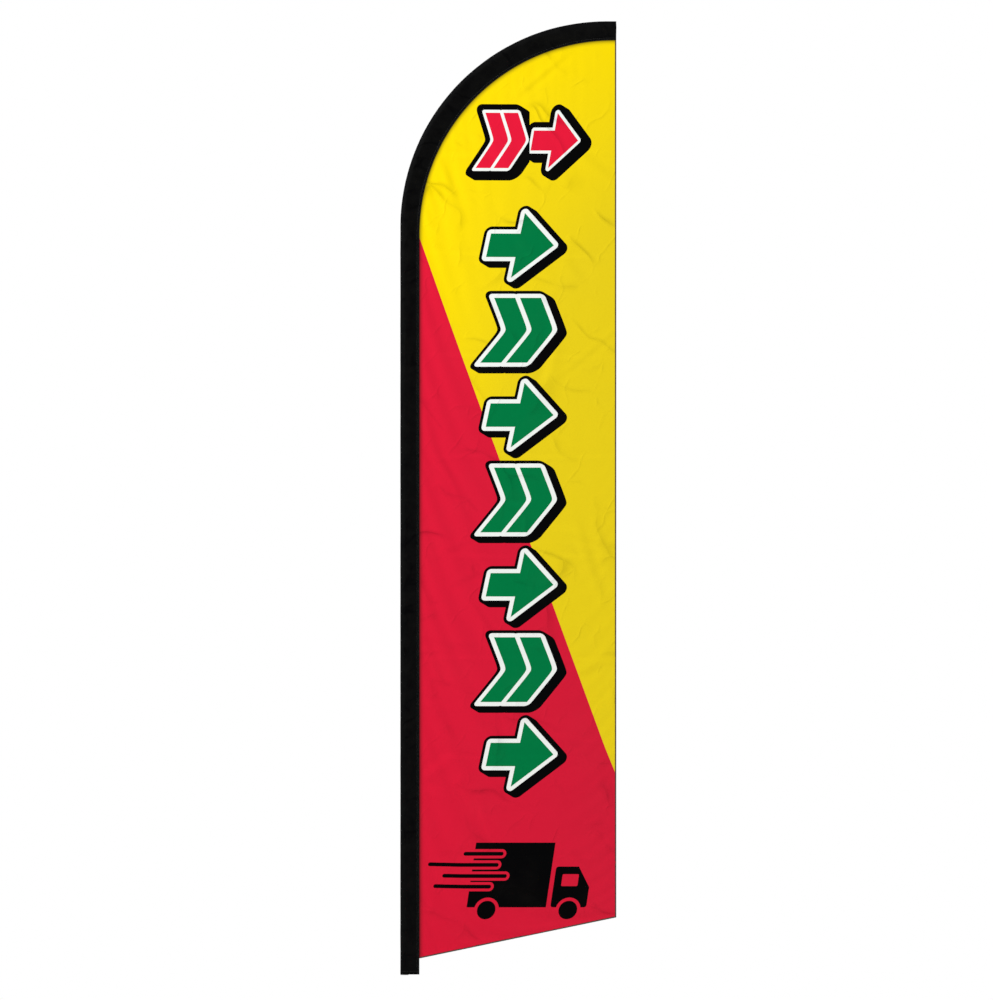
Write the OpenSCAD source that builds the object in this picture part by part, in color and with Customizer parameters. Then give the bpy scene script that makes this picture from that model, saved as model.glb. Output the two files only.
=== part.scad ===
/* [Flag] */
// Height of the flag, from the open end of the sleeve to its highest point
flag_h = 3505; // [2900:5:4300]
// Width of the flag, from the sleeve's leading edge to the trailing edge
flag_w = 794; // [640:1:960]
// Length of the level stretch at the top, between the curve and the trailing edge
level_l = 36; // [33:1:120]
// Height of the cloth's lower corner at the sleeve, above the sleeve's end
corner_low_h = 59; // [40:1:120]
// Height of the cloth's lower corner at the trailing edge, above the sleeve's end
corner_high_h = 210; // [150:1:400]
// Thickness of the printed cloth
panel_cloth = 0.6; // [0.4:0.1:1.2]
// Width of the thread sewn over the raw edges
overlock_w = 3; // [2:0.5:5]
// How thick the edge thread lies on the cloth
overlock_t = 0.5; // [0.3:0.1:0.8]

/* [Sleeve] */
// Flat width of the sleeve along the straight of the pole
sleeve_w = 70; // [60:1:85]
// How much wider the sleeve is halfway round the curve
curve_swell = 10; // [0:1:14]
// Thickness of the sleeve cloth
sleeve_cloth = 0.8; // [0.5:0.1:1.2]
// Width of the seam that holds the printed cloth
seam_w = 12; // [8:1:16]
// Room between the pole and the sleeve
sleeve_room = 1; // [0.9:0.1:2]
// Thickness of the patch that closes the sleeve's end
patch_t = 2; // [1:0.5:4]

/* [Pole] */
// Outside diameter of the bottom tube
pole_d = 28; // [26:0.5:34]
// Wall of both tubes
tube_wall = 1.5; // [1:0.1:2]
// Wall of the tip rod's ferrule
ferrule_wall = 1.5; // [1:0.1:2]
// How far the ferrule stands out of the middle tube
ferrule_out = 60; // [30:5:120]
// Length of one tube that lies inside the next
overlap_l = 120; // [110:5:160]
// Straight length of the tip rod between its ferrule and the curve
rod_lead = 340; // [200:5:500]
// Diameter of the tip rod at its thin end
rod_tip_d = 8; // [6:0.5:10]
// Room between the tip rod and the ferrule, all round, filled with adhesive
glue_gap = 0.05; // [0.03:0.01:0.1]
// Room between two tubes, all round
tube_fit = 0.1; // [0.05:0.05:0.2]
// Wall of the tip rod's rubber cap
cap_wall = 2.5; // [1.5:0.5:3]
// Length of the cap that covers the rod
cap_l = 22; // [12:1:24]

/* [Snap buttons] */
// Diameter of a snap button
button_d = 8; // [6:0.5:9]
// How far a button stands out of what it locks
button_proud = 2.5; // [2:0.1:3]
// Room between a button and its holes, all round
button_fit = 0.1; // [0.05:0.05:0.2]
// Width of the spring leaf behind a button
leaf_w = 9; // [7:0.5:10]
// Thickness of the spring leaf
leaf_t = 0.8; // [0.5:0.1:1]
// Length of a spring leaf, from its button to its bend
leaf_l = 45; // [35:1:48]

/* [Grommet] */
// Height of the grommet above the base
anchor_z = 200; // [190:5:300]
// Angle of the grommet from the back towards the leading edge
anchor_turn = 25; // [22:1:60]
// Diameter of the grommet's hole
grommet_bore = 10; // [9.5:0.5:12]
// Outside diameter of the grommet
grommet_d = 19; // [17:0.5:20]
// Thickness of the grommet's metal
grommet_t = 0.7; // [0.5:0.1:0.8]

/* [Spindle] */
// Thickness of the flange
flange_t = 6; // [4:0.5:8]
// Depth of each spanner flat on the flange
flat_deep = 2; // [1:0.5:3]
// Height of the boss's top above the base
boss_top = 30; // [28:1:40]
// Diameter of the spindle's shaft
shaft_d = 12; // [10:0.5:14]
// Height of the shaft above the retaining ring
shaft_end = 6; // [3:0.5:10]
// Diameter of the thread's tapped hole
thread_bore = 8.5; // [8:0.1:9]
// Depth of the tapped hole
thread_depth = 24; // [20:1:26]
// Height of the rotor's top above the base
rotor_top = 140; // [110:5:150]
// Wall of the rotor round the boss
rotor_wall = 2.4; // [1.5:0.1:3]
// Thickness of the rotor's collar, which the pole stands on
collar_t = 6; // [4:0.5:8]
// Running room of the rotor on the spindle, all round
run_fit = 0.05; // [0.03:0.01:0.1]
// Gap between two faces that turn on each other
face_gap = 0.1; // [0.05:0.05:0.2]
// Thickness of the two washers
washer_t = 1.5; // [1:0.1:2]
// How far each washer stays inside what it runs under
washer_inset = 0.5; // [0.2:0.1:1]
// Thickness of the retaining ring
ring_t = 1.2; // [1:0.1:1.5]
// How far the retaining ring stands out of the shaft
ring_proud = 1.8; // [1.2:0.1:2.5]
// How deep the retaining ring sits in the shaft
groove_deep = 0.8; // [0.5:0.1:1]
// Height of the sleeve's open end above the base
sleeve_lift = 2; // [1:0.5:5]

/* [Hidden] */
$fn = 64;

// A hair of extra length on a cutting shape, so that no two faces lie on each other
cut = 1;

// Pole: radii from the outside in
pole_r = pole_d / 2;
pole_bore_r = pole_r - tube_wall;
middle_r = pole_bore_r - tube_fit;
middle_bore_r = middle_r - tube_wall;
ferrule_r = middle_bore_r - tube_fit;
ferrule_bore_r = ferrule_r - ferrule_wall;
rod_r = ferrule_bore_r - glue_gap;
rod_tip_r = rod_tip_d / 2;

// Spindle and rotor: the rotor fits the pole, the boss fits the rotor
rotor_r = pole_bore_r - tube_fit;
boss_bore_r = rotor_r - rotor_wall;
boss_r = boss_bore_r - run_fit;
shaft_r = shaft_d / 2;
shaft_bore_r = shaft_r + run_fit;
collar_z = flange_t + washer_t + face_gap;
seat_z = collar_z + collar_t;
keeper_z = rotor_top + face_gap;
groove_z = keeper_z + washer_t + face_gap;
spindle_top = groove_z + ring_t + shaft_end;

// Sleeve and flag: the pole's axis is x = 0, y = 0, and the sleeve's leading edge is left of it
sleeve_ri = pole_r + sleeve_room;
sleeve_ro = sleeve_ri + sleeve_cloth;
lead_x = -sleeve_ro;
trail_x = lead_x + flag_w;
top_z = sleeve_lift + flag_h;
curve_x = trail_x - level_l;
curve_r = curve_x - lead_x;
curve_z = top_z - curve_r;
path_r = curve_x;
path_top = curve_z + path_r;
corner_low_z = sleeve_lift + corner_low_h;
corner_high_z = sleeve_lift + corner_high_h;

// The sleeve's inner edge: a straight, and an arc that is a little flatter than the outer curve.
// Halfway round a quarter turn, two arcs that share their tangents part by this share of the
// difference of their radii
halfway = sqrt(2) - 1;
edge_x = lead_x + sleeve_w;
edge_z = top_z - sleeve_w;
edge_r = curve_r - sleeve_w + curve_swell / halfway;
edge_cx = edge_x + edge_r;
edge_cz = edge_z - edge_r;
seam_u = sleeve_w - sleeve_ro - seam_w;
// The sleeve's straight part ends a seam's width under the start of its bent inner edge
bend_z = edge_cz - seam_w;

// The two tubes share the straight of the pole below the tip rod's ferrule
ferrule_top = curve_z - rod_lead;
middle_top = ferrule_top - ferrule_out;
tube_l = (middle_top - seat_z + overlap_l) / 2;
bottom_top = seat_z + tube_l;
middle_low = middle_top - tube_l;
ferrule_low = middle_top - overlap_l;
lower_button_z = bottom_top - overlap_l / 2;
upper_button_z = middle_top - overlap_l / 2;

// The tip rod, from above the upper button's spring to inside its cap
rod_low = upper_button_z + button_d + leaf_w;
cap_r = rod_tip_r + cap_wall;
rod_end_x = trail_x - patch_t - face_gap - cap_r;

// Snap buttons: a foot inside the tube keeps each button from leaving through its hole
button_r = button_d / 2;
foot_r = button_r + 1;
foot_t = 1;
foot_room = 0.2;
// Distance from a tube's axis to the button's inner end, and to the spring's back leg
function foot_at(bore) = sqrt(bore * bore - foot_r * foot_r) - foot_t - foot_room;
function back_at(bore) = sqrt(bore * bore - leaf_w * leaf_w / 4) - foot_room;

// A cylinder between two heights
module drum(r, z0, z1) {
    translate([0, 0, z0]) cylinder(r = r, h = z1 - z0);
}

// A tube wall between two heights
module pipe(ro, ri, z0, z1) {
    difference() {
        drum(ro, z0, z1);
        drum(ri, z0 - cut, z1 + cut);
    }
}

// Turns a shape that points along +Z so that it points along +X, at a height
module to_seam(z) {
    translate([0, 0, z]) rotate([0, 90, 0]) children();
}

// Turns a shape that points along +Z so that it points the way the grommet does
module to_grommet() {
    translate([0, 0, anchor_z]) rotate([0, 0, 90 + anchor_turn]) rotate([0, 90, 0]) children();
}

// A round hole from a tube's axis out through its wall
module side_hole(r) {
    cylinder(r = r, h = 2 * pole_d);
}

// ---- Spindle: screws to a base and carries the flag ----

module spindle() {
    color("silver") difference() {
        union() {
            intersection() {
                drum(pole_r, 0, flange_t);
                translate([-pole_d, flat_deep - pole_r, 0])
                    cube([2 * pole_d, pole_d - 2 * flat_deep, flange_t]);
            }
            drum(boss_r, 0, boss_top);
            drum(shaft_r, 0, spindle_top);
        }
        pipe(shaft_d, shaft_r - groove_deep, groove_z, groove_z + ring_t);
        drum(thread_bore / 2, -cut, thread_depth);
    }
}

module thrust_washer() {
    color("ivory") pipe(pole_r - washer_inset, boss_bore_r, flange_t, flange_t + washer_t);
}

module rotor_sleeve() {
    color("ivory") difference() {
        union() {
            drum(pole_r, collar_z, seat_z);
            drum(rotor_r, collar_z, rotor_top);
        }
        drum(boss_bore_r, collar_z - cut, boss_top + face_gap);
        drum(shaft_bore_r, collar_z, rotor_top + cut);
    }
}

module retaining_washer() {
    color("silver") pipe(rotor_r - washer_inset, shaft_bore_r, keeper_z, keeper_z + washer_t);
}

// An open ring that snaps onto the shaft through its mouth
module retaining_ring() {
    mouth_w = shaft_r;
    color("dimgray") difference() {
        pipe(shaft_r + ring_proud, shaft_r - groove_deep, groove_z, groove_z + ring_t);
        translate([0, -mouth_w / 2, groove_z - cut]) cube([shaft_d, mouth_w, ring_t + 2 * cut]);
    }
}

// ---- Pole ----

module bottom_tube() {
    color("silver") difference() {
        pipe(pole_r, pole_bore_r, seat_z, bottom_top);
        to_seam(lower_button_z) side_hole(button_r + button_fit);
        to_grommet() side_hole(button_r + button_fit);
    }
}

module middle_tube() {
    color("silver") difference() {
        pipe(middle_r, middle_bore_r, middle_low, middle_top);
        to_seam(lower_button_z) side_hole(button_r + button_fit);
        to_seam(upper_button_z) side_hole(button_r + button_fit);
    }
}

// The ferrule's rim rests on the middle tube
module tip_ferrule() {
    rim_t = 4;
    color("silver") difference() {
        union() {
            pipe(ferrule_r, ferrule_bore_r, ferrule_low, ferrule_top);
            pipe(middle_r, ferrule_bore_r, middle_top, middle_top + rim_t);
        }
        to_seam(upper_button_z) side_hole(button_r + button_fit);
    }
}

// The rod's path: straight up, a quarter turn, then level to the sleeve's end.
// s is the distance along it from the rod's lower end
rod_up = curve_z - rod_low;
rod_arc = path_r * PI / 2;
rod_level = rod_end_x - curve_x;
rod_l = rod_up + rod_arc + rod_level;
taper_from = ferrule_top - rod_low;
function turn_at(s) = max(0, min(90, (s - rod_up) / rod_arc * 90));
function point_at(s) =
    s < rod_up ? [0, 0, rod_low + s]
    : s > rod_up + rod_arc ? [curve_x + s - rod_up - rod_arc, 0, path_top]
    : [curve_x - path_r * cos(turn_at(s)), 0, curve_z + path_r * sin(turn_at(s))];
// Full size in the ferrule, then an even taper to the tip
function radius_at(s) =
    s < taper_from ? rod_r
    : rod_r + (rod_tip_r - rod_r) * (s - taper_from) / (rod_l - taper_from);
function ring_at(s, sides) =
    let (turn = turn_at(s))
    [for (k = [0 : sides - 1])
        let (a = 360 * k / sides)
        point_at(s) + radius_at(s) * [cos(a) * cos(turn), sin(a), -cos(a) * sin(turn)]];

module tip_rod() {
    sides = 20;
    bends = 45;
    stations = concat([0, taper_from], [for (i = [0 : bends]) rod_up + rod_arc * i / bends], [rod_l]);
    last = len(stations) - 1;
    points = [for (s = stations) each ring_at(s, sides)];
    walls = [for (i = [0 : last - 1], k = [0 : sides - 1])
        let (a = i * sides + k, b = i * sides + (k + 1) % sides)
        [a, a + sides, b + sides, b]];
    low_end = [for (k = [0 : sides - 1]) k];
    tip_end = [for (k = [sides - 1 : -1 : 0]) last * sides + k];
    color("whitesmoke") polyhedron(points, concat(walls, [low_end, tip_end]), convexity = 4);
}

module tip_cap() {
    mouth_x = rod_end_x - cap_l;
    color("dimgray") translate([0, 0, path_top]) rotate([0, 90, 0]) difference() {
        union() {
            drum(cap_r, mouth_x, rod_end_x);
            translate([0, 0, rod_end_x]) sphere(r = cap_r);
        }
        drum(radius_at(rod_l - cap_l) + glue_gap, mouth_x - cut, rod_end_x);
    }
}

// ---- Snap buttons: each button is drawn along +Z, with the tube's axis at z = 0 ----

module button(bore, head) {
    dome = 1;
    foot = foot_at(bore);
    color("silver") rotate_extrude() polygon([
        [0, foot], [foot_r, foot], [foot_r, foot + foot_t], [button_r, foot + foot_t],
        [button_r, head - dome], [button_r - dome, head], [0, head],
    ]);
}

// A bent leaf in a bore: one leg behind the button along +X, the other on the far wall.
// The bend is below the button, or above it with up
module leaf(bore, up) {
    front = foot_at(bore);
    back = -back_at(bore);
    flat = foot_r + 1;
    bend = leaf_t * 5;
    outline = [
        [back, flat], [back + leaf_t, flat], [back + leaf_t, -flat], [0, bend - leaf_l],
        [front - leaf_t, -flat], [front - leaf_t, flat], [front, flat], [front, -flat],
        [0, -leaf_l], [back, -flat],
    ];
    color("slategray") rotate([90, 0, 0]) linear_extrude(height = leaf_w, center = true)
        mirror([0, up ? 1 : 0]) polygon(outline);
}

module lower_button() {
    to_seam(lower_button_z) button(middle_bore_r, pole_r + button_proud);
}

module lower_button_spring() {
    translate([0, 0, lower_button_z]) leaf(middle_bore_r, false);
}

module upper_button() {
    to_seam(upper_button_z) button(ferrule_bore_r, middle_r + button_proud);
}

module upper_button_spring() {
    translate([0, 0, upper_button_z]) leaf(ferrule_bore_r, false);
}

module anchor_button() {
    to_grommet() button(pole_bore_r, sleeve_ri + button_proud);
}

module anchor_button_spring() {
    translate([0, 0, anchor_z]) rotate([0, 0, 90 + anchor_turn]) leaf(pole_bore_r, true);
}

// ---- Flag ----

// The flag's plane: 2D x and y become x and z, and the thickness lies either side of y = 0
module in_plane(t) {
    rotate([90, 0, 0]) linear_extrude(height = t, center = true) children();
}

// Everything on the panel's side of the sleeve's inner edge, grown by g towards the sleeve
module inside_edge(g) {
    union() {
        translate([edge_cx, edge_cz]) circle(r = edge_r + g);
        translate([edge_x - g, -cut]) square([flag_w, edge_cz + cut]);
        translate([edge_cx, edge_cz - cut]) square([flag_w, edge_r + g + cut]);
    }
}

// The cloth's own outline, with its two free edges g inside, and grown by s under the sleeve
module cloth_outline(g, s) {
    slope = (corner_high_z - corner_low_z) / (trail_x - edge_x);
    low = corner_low_z + g * sqrt(1 + slope * slope);
    intersection() {
        inside_edge(s);
        polygon([
            [lead_x, low + slope * (lead_x - edge_x)],
            [trail_x - g, low + slope * (trail_x - g - edge_x)],
            [trail_x - g, top_z],
            [lead_x, top_z],
        ]);
    }
}

module flag_panel() {
    color("gold") in_plane(panel_cloth) cloth_outline(overlock_t, seam_w);
}

// Thread over an edge: a strip on both sides of the cloth and round its end
module overlock() {
    color("black") difference() {
        in_plane(panel_cloth + 2 * overlock_t) intersection() {
            cloth_outline(0, 0);
            children();
        }
        in_plane(panel_cloth) cloth_outline(overlock_t, seam_w);
    }
}

module trailing_strip() {
    translate([trail_x - overlock_w, 0]) square([overlock_w, top_z]);
}

module trailing_overlock() {
    overlock() trailing_strip();
}

module bottom_overlock() {
    overlock() difference() {
        translate([lead_x, 0]) square([flag_w, curve_z]);
        cloth_outline(overlock_w, seam_w);
        trailing_strip();
    }
}

// A drop shape round the pole, which narrows to half_gap either side at the seam.
// Its sides start a hair inside the circle, where they touch it
module drop(r, half_gap) {
    circle(r = r);
    drop_sides(r, half_gap);
}

module drop_sides(r, half_gap) {
    hair = 0.1;
    reach = norm([seam_u, half_gap]);
    a = atan2(half_gap, seam_u) + acos(r / reach);
    touch = (r - hair) * [cos(a), sin(a)];
    polygon([touch, [seam_u, half_gap], [seam_u, -half_gap], [touch.x, -touch.y]]);
}

// One strip of cloth folded round the pole, with the printed cloth between its two edges.
// It runs on past the straight inner edge by the given length, for the curve to be cut from
module sleeve_profile(over) {
    gap = panel_cloth / 2;
    reach = sleeve_w - sleeve_ro + over;
    difference() {
        union() {
            drop(sleeve_ro, gap + sleeve_cloth);
            seam_strip(gap + sleeve_cloth, reach);
        }
        drop(sleeve_ri, gap);
        seam_strip(gap, reach + cut);
    }
}

// From the seam on the strip's two edges lie flat, half_gap either side, as far as reach
module seam_strip(half_gap, reach) {
    translate([seam_u - cut, -half_gap]) square([reach - seam_u + cut, 2 * half_gap]);
}

// Draws each of its outlines upright, from z0 to z1
module upright(z0, z1) {
    for (i = [0 : $children - 1])
        translate([0, 0, z0]) linear_extrude(height = z1 - z0) children(i);
}

// Sweeps a profile round the curve: its x points at the curve's centre
module round_curve() {
    translate([curve_x, 0, curve_z]) rotate([90, 0, 0]) rotate([0, 0, 90])
        rotate_extrude(angle = 90) translate([path_r, 0]) mirror([1, 0]) children();
}

// Sweeps a profile level along the top, from x0 to x1: its x points down
module level_run(x0, x1) {
    translate([x0, 0, path_top]) rotate([0, 90, 0]) linear_extrude(height = x1 - x0) children();
}

// The sleeve is one strip of cloth, drawn in two parts that meet just under the bend
module pole_sleeve() {
    gap = panel_cloth / 2;
    reach = sleeve_w - sleeve_ro;
    color("black") difference() {
        upright(sleeve_lift, bend_z) {
            circle(r = sleeve_ro);
            drop_sides(sleeve_ro, gap + sleeve_cloth);
            seam_strip(gap + sleeve_cloth, reach);
        }
        upright(0, bend_z + cut) {
            circle(r = sleeve_ri);
            drop_sides(sleeve_ri, gap);
            seam_strip(gap, reach + cut);
        }
        to_grommet() side_hole(grommet_bore / 2 + grommet_t);
    }
}

module sleeve_bend() {
    over = curve_swell + cut;
    color("black") difference() {
        union() {
            upright(bend_z, curve_z) sleeve_profile(over);
            round_curve() sleeve_profile(over);
            level_run(curve_x, trail_x) sleeve_profile(over);
        }
        in_plane(2 * pole_d) inside_edge(0);
    }
}

module sleeve_end_patch() {
    color("black") union() {
        level_run(trail_x - patch_t, trail_x) circle(r = sleeve_ri);
        level_run(trail_x - patch_t, trail_x) drop_sides(sleeve_ri, panel_cloth / 2);
    }
}

// Sheet metal bent to the sleeve's roundness: a washer between two radii round the pole
module bent_ring(r0, r1, hole_d, outer_d) {
    intersection() {
        pipe(r1, r0, anchor_z - outer_d, anchor_z + outer_d);
        to_grommet() difference() {
            side_hole(outer_d / 2);
            side_hole(hole_d / 2);
        }
    }
}

module grommet_eyelet() {
    barrel_d = grommet_bore + 2 * grommet_t;
    color("silver") union() {
        bent_ring(sleeve_ro, sleeve_ro + grommet_t, grommet_bore, grommet_d);
        bent_ring(sleeve_ri - grommet_t, sleeve_ro + grommet_t, grommet_bore, barrel_d);
    }
}

module grommet_washer() {
    barrel_d = grommet_bore + 2 * grommet_t;
    color("silver") bent_ring(sleeve_ri - grommet_t, sleeve_ri, barrel_d, grommet_d);
}

spindle();
thrust_washer();
rotor_sleeve();
retaining_washer();
retaining_ring();
bottom_tube();
middle_tube();
tip_ferrule();
tip_rod();
tip_cap();
lower_button();
lower_button_spring();
upper_button();
upper_button_spring();
anchor_button();
anchor_button_spring();
pole_sleeve();
sleeve_bend();
sleeve_end_patch();
grommet_eyelet();
grommet_washer();
flag_panel();
trailing_overlock();
bottom_overlock();
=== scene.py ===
# %% [markdown]
# # A feather flag with its pole
#
# A feather flag is one tall layer of printed knitted cloth, sewn into a black sleeve. A jointed pole
# runs up inside the sleeve, and its thin fibreglass end is bent over by the cloth into a quarter
# circle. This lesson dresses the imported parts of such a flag: cloth, threads, print, metal and rubber.
#
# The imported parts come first, because every soft piece is placed from them.

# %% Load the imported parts
import math
import random

import bpy
import numpy as np
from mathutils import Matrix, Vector, noise


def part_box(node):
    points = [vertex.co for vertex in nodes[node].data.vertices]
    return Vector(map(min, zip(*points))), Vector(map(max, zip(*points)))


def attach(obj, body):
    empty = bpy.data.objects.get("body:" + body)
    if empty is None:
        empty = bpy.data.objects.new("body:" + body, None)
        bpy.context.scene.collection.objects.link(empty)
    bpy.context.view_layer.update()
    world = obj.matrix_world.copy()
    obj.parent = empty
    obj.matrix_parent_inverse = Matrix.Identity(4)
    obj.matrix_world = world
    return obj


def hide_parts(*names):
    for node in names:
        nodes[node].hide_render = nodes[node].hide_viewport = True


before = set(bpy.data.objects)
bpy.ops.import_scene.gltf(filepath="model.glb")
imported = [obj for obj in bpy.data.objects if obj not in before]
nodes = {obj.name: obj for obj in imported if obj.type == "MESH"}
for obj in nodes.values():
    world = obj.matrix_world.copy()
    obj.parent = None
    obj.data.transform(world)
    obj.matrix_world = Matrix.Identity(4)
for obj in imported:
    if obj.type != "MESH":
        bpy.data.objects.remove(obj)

MM = 0.001
scene = bpy.context.scene
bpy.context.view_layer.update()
sleeve_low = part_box("pole_sleeve")[0]
sleeve_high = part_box("sleeve_bend")[1]
print("flag height", round(sleeve_high.z - sleeve_low.z, 3))
print("flag width", round(sleeve_high.x - sleeve_low.x, 3))

# %% [markdown]
# ## The camera
#
# The flag is seen square on and without perspective, as a sewing pattern would be, so its outline
# keeps its true proportions. An orthographic camera does that: its scale is the height of the view in
# metres, and its distance doesn't matter.

# %% Camera, square on to the printed side
VIEW_HEIGHT = 3.677
VIEW_FROM_SLEEVE = 353.6 * MM
VIEW_ABOVE_END = 1744.8 * MM
CAMERA_BACK = 9.0

camera = bpy.data.objects.new("camera", bpy.data.cameras.new("camera"))
camera.data.type = "ORTHO"
camera.data.ortho_scale = VIEW_HEIGHT
camera.data.clip_end = 40.0
camera.location = (sleeve_low.x + VIEW_FROM_SLEEVE, -CAMERA_BACK, sleeve_low.z + VIEW_ABOVE_END)
camera.rotation_euler = (math.radians(90), 0, 0)
scene.collection.objects.link(camera)
scene.camera = camera
scene.view_settings.view_transform = "Standard"
print("camera at", [round(v, 3) for v in camera.location])

# %% [markdown]
# ## The room
#
# Cloth folds are shallow, so they only show when some light comes from the side. Most of the light is
# an even white sky, and two large soft lamps add direction: one from the upper left in front, and a
# weaker one behind, so that the back is lit as well.

# %% Sky, lamps and floor
SKY_LIGHT = 0.62
SKY_SEEN = 1.0
FLOOR_SIZE = 14.0


def fill(tree, node, **inputs):
    """Fills a node's inputs, by their names with _ for spaces. A value can be another node's output."""
    for key, value in inputs.items():
        put(tree, value, node.inputs[key.replace("_", " ")])


def put(tree, value, socket):
    """Puts a value, another node's output or a Measure (see Threads) into one input."""
    value = getattr(value, "socket", value)
    if isinstance(value, bpy.types.NodeSocket):
        tree.links.new(value, socket)
    else:
        socket.default_value = value


def add(tree, kind, settings=None, **inputs):
    """Adds one node with its settings and inputs."""
    made = tree.nodes.new(kind)
    for key, value in (settings or {}).items():
        setattr(made, key, value)
    fill(tree, made, **inputs)
    return made


def make_piece(name, points, edges=(), faces=()):
    """A smooth mesh object of some points, edges and faces, put in the scene."""
    mesh = bpy.data.meshes.new(name)
    mesh.from_pydata(points, edges, faces)
    for face in mesh.polygons:
        face.use_smooth = True
    made = bpy.data.objects.new(name, mesh)
    scene.collection.objects.link(made)
    return made


def soft_lamp(name, place, aim, size, power):
    lamp = bpy.data.objects.new(name, bpy.data.lights.new(name, "AREA"))
    lamp.data.shape = "DISK"
    lamp.data.size = size
    lamp.data.energy = power
    lamp.location = place
    lamp.rotation_euler = (Vector(aim) - Vector(place)).to_track_quat("-Z", "Y").to_euler()
    scene.collection.objects.link(lamp)


world = bpy.data.worlds.new("studio")
scene.world = world
world.use_nodes = True
sky = world.node_tree
sky.nodes.clear()
seen = add(sky, "ShaderNodeLightPath").outputs["Is Camera Ray"]
strength = add(sky, "ShaderNodeMapRange", To_Min=SKY_LIGHT, To_Max=SKY_SEEN, Value=seen)
white = add(sky, "ShaderNodeBackground", Color=(1, 1, 1, 1), Strength=strength.outputs[0])
add(sky, "ShaderNodeOutputWorld", Surface=white.outputs[0])

middle = (0.35, 0, 1.75)
soft_lamp("key_lamp", (-3.6, -3.0, 5.2), middle, 1.8, 215)
soft_lamp("back_lamp", (3.6, 4.2, 4.4), middle, 2.2, 220)

reach = FLOOR_SIZE / 2
corners = [(-reach, -reach, 0), (reach, -reach, 0), (reach, reach, 0), (-reach, reach, 0)]
floor = make_piece("floor", corners, faces=[(0, 1, 2, 3)])
floor_finish = bpy.data.materials.new("pale_floor")
floor_finish.use_nodes = True
pale = floor_finish.node_tree.nodes["Principled BSDF"]
fill(floor_finish.node_tree, pale, Base_Color=(0.83, 0.83, 0.82, 1), Roughness=0.85)
floor.data.materials.append(floor_finish)
print("room ready")

# %% [markdown]
# ## The pattern
#
# The pole's path is a straight, a quarter circle and a short level stretch. The sleeve follows it. Its
# inner edge, where the printed cloth starts, is a straight and a slightly flatter circle, so the
# sleeve is a little wider halfway round the bend. Everything soft is laid out from these few lines.
# Flat places are given as x across the flag and z up it.

# %% The lines of the pattern
SLEEVE_W = 70 * MM
BEND_SWELL = 10 * MM
LEVEL_RUN = 36 * MM
SEAM_W = 12 * MM
SLEEVE_CLOTH = 0.8 * MM
PANEL_CLOTH = 0.6 * MM
LOW_CORNER = 59 * MM
HIGH_CORNER = 210 * MM

outer_r = -sleeve_low.x
end_z = sleeve_low.z
top_z = sleeve_high.z
trail_x = sleeve_high.x
bend_x = trail_x - LEVEL_RUN
bend_r = bend_x
bend_z = top_z - bend_x - outer_r
path_top = bend_z + bend_r
straight_l = bend_z - end_z
arc_l = bend_r * math.pi / 2
path_l = straight_l + arc_l + LEVEL_RUN

edge_x = sleeve_low.x + SLEEVE_W
edge_top = top_z - SLEEVE_W
edge_r = bend_r + outer_r - SLEEVE_W + BEND_SWELL / (math.sqrt(2) - 1)
edge_mid = Vector((edge_x + edge_r, edge_top - edge_r))
low_z = end_z + LOW_CORNER
bottom_slope = (HIGH_CORNER - LOW_CORNER) / (trail_x - edge_x)


def path_at(s):
    """The pole's axis at s metres from the sleeve's end: its place, and the way in to the cloth."""
    if s < straight_l:
        return Vector((0, end_z + s)), Vector((1, 0))
    if s < straight_l + arc_l:
        turn = (s - straight_l) / bend_r
        way_in = Vector((math.cos(turn), -math.sin(turn)))
        return Vector((bend_x, bend_z)) - bend_r * way_in, way_in
    return Vector((bend_x + s - straight_l - arc_l, path_top)), Vector((0, -1))


def edge_reach(place, way_in):
    """How far it is from the pole's axis to the sleeve's inner edge."""
    if place.y <= edge_mid.y:
        return edge_x - place.x
    if place.x >= edge_mid.x:
        return place.y - edge_top
    to_mid = edge_mid - place
    along = to_mid.dot(way_in)
    return along - math.sqrt(edge_r**2 - to_mid.length_squared + along**2)


def bottom_at(x):
    """How high the slanted bottom edge is, x metres across."""
    return low_z + bottom_slope * (x - edge_x)


print("pole path", round(path_l, 3), "m, sleeve's inner edge radius", round(edge_r, 4))

# %% [markdown]
# ## Cutting the printed cloth
#
# The cloth is a grid of small squares, because cloth simulation needs even squares. Its rows start
# parallel to the slanted bottom edge and are level at the top, so two edges are exact. Where the edge
# curves, points near the curve are moved onto it and squares outside are left out. The rough edge that
# this leaves is inside the seam, where the sleeve covers it.
#
# Each point's flat place is kept as a UV map in metres, made before the cloth moves. The print reads
# that map, so it stays on the cloth however the cloth folds.

# %% The flat cloth as a grid
GRID = 7.5 * MM
EDGE_TURN = 0.5 * MM

panel_left = edge_x - SEAM_W
panel_right = trail_x - EDGE_TURN
panel_top = edge_top + SEAM_W
columns = round((panel_right - panel_left) / GRID)
rows = round((panel_top - low_z) / GRID)


def grid_places():
    across = np.linspace(panel_left, panel_right, columns + 1)
    low = bottom_at(across) + EDGE_TURN
    up = np.linspace(0, 1, rows + 1)[:, None]
    x = np.broadcast_to(across, (rows + 1, columns + 1))
    z = low * (1 - up) + panel_top * up
    return x.copy(), z


flat_x, flat_z = grid_places()
from_mid = np.hypot(flat_x - edge_mid.x, flat_z - edge_mid.y)
curved = (flat_x < edge_mid.x) & (flat_z > edge_mid.y)
cut_r = edge_r + SEAM_W
outside = curved & (from_mid > cut_r + GRID / 2)
near_cut = curved & (abs(from_mid - cut_r) <= GRID / 2)
pull = np.where(near_cut, cut_r / from_mid, 1.0)
flat_x = edge_mid.x + (flat_x - edge_mid.x) * pull
flat_z = edge_mid.y + (flat_z - edge_mid.y) * pull


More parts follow.
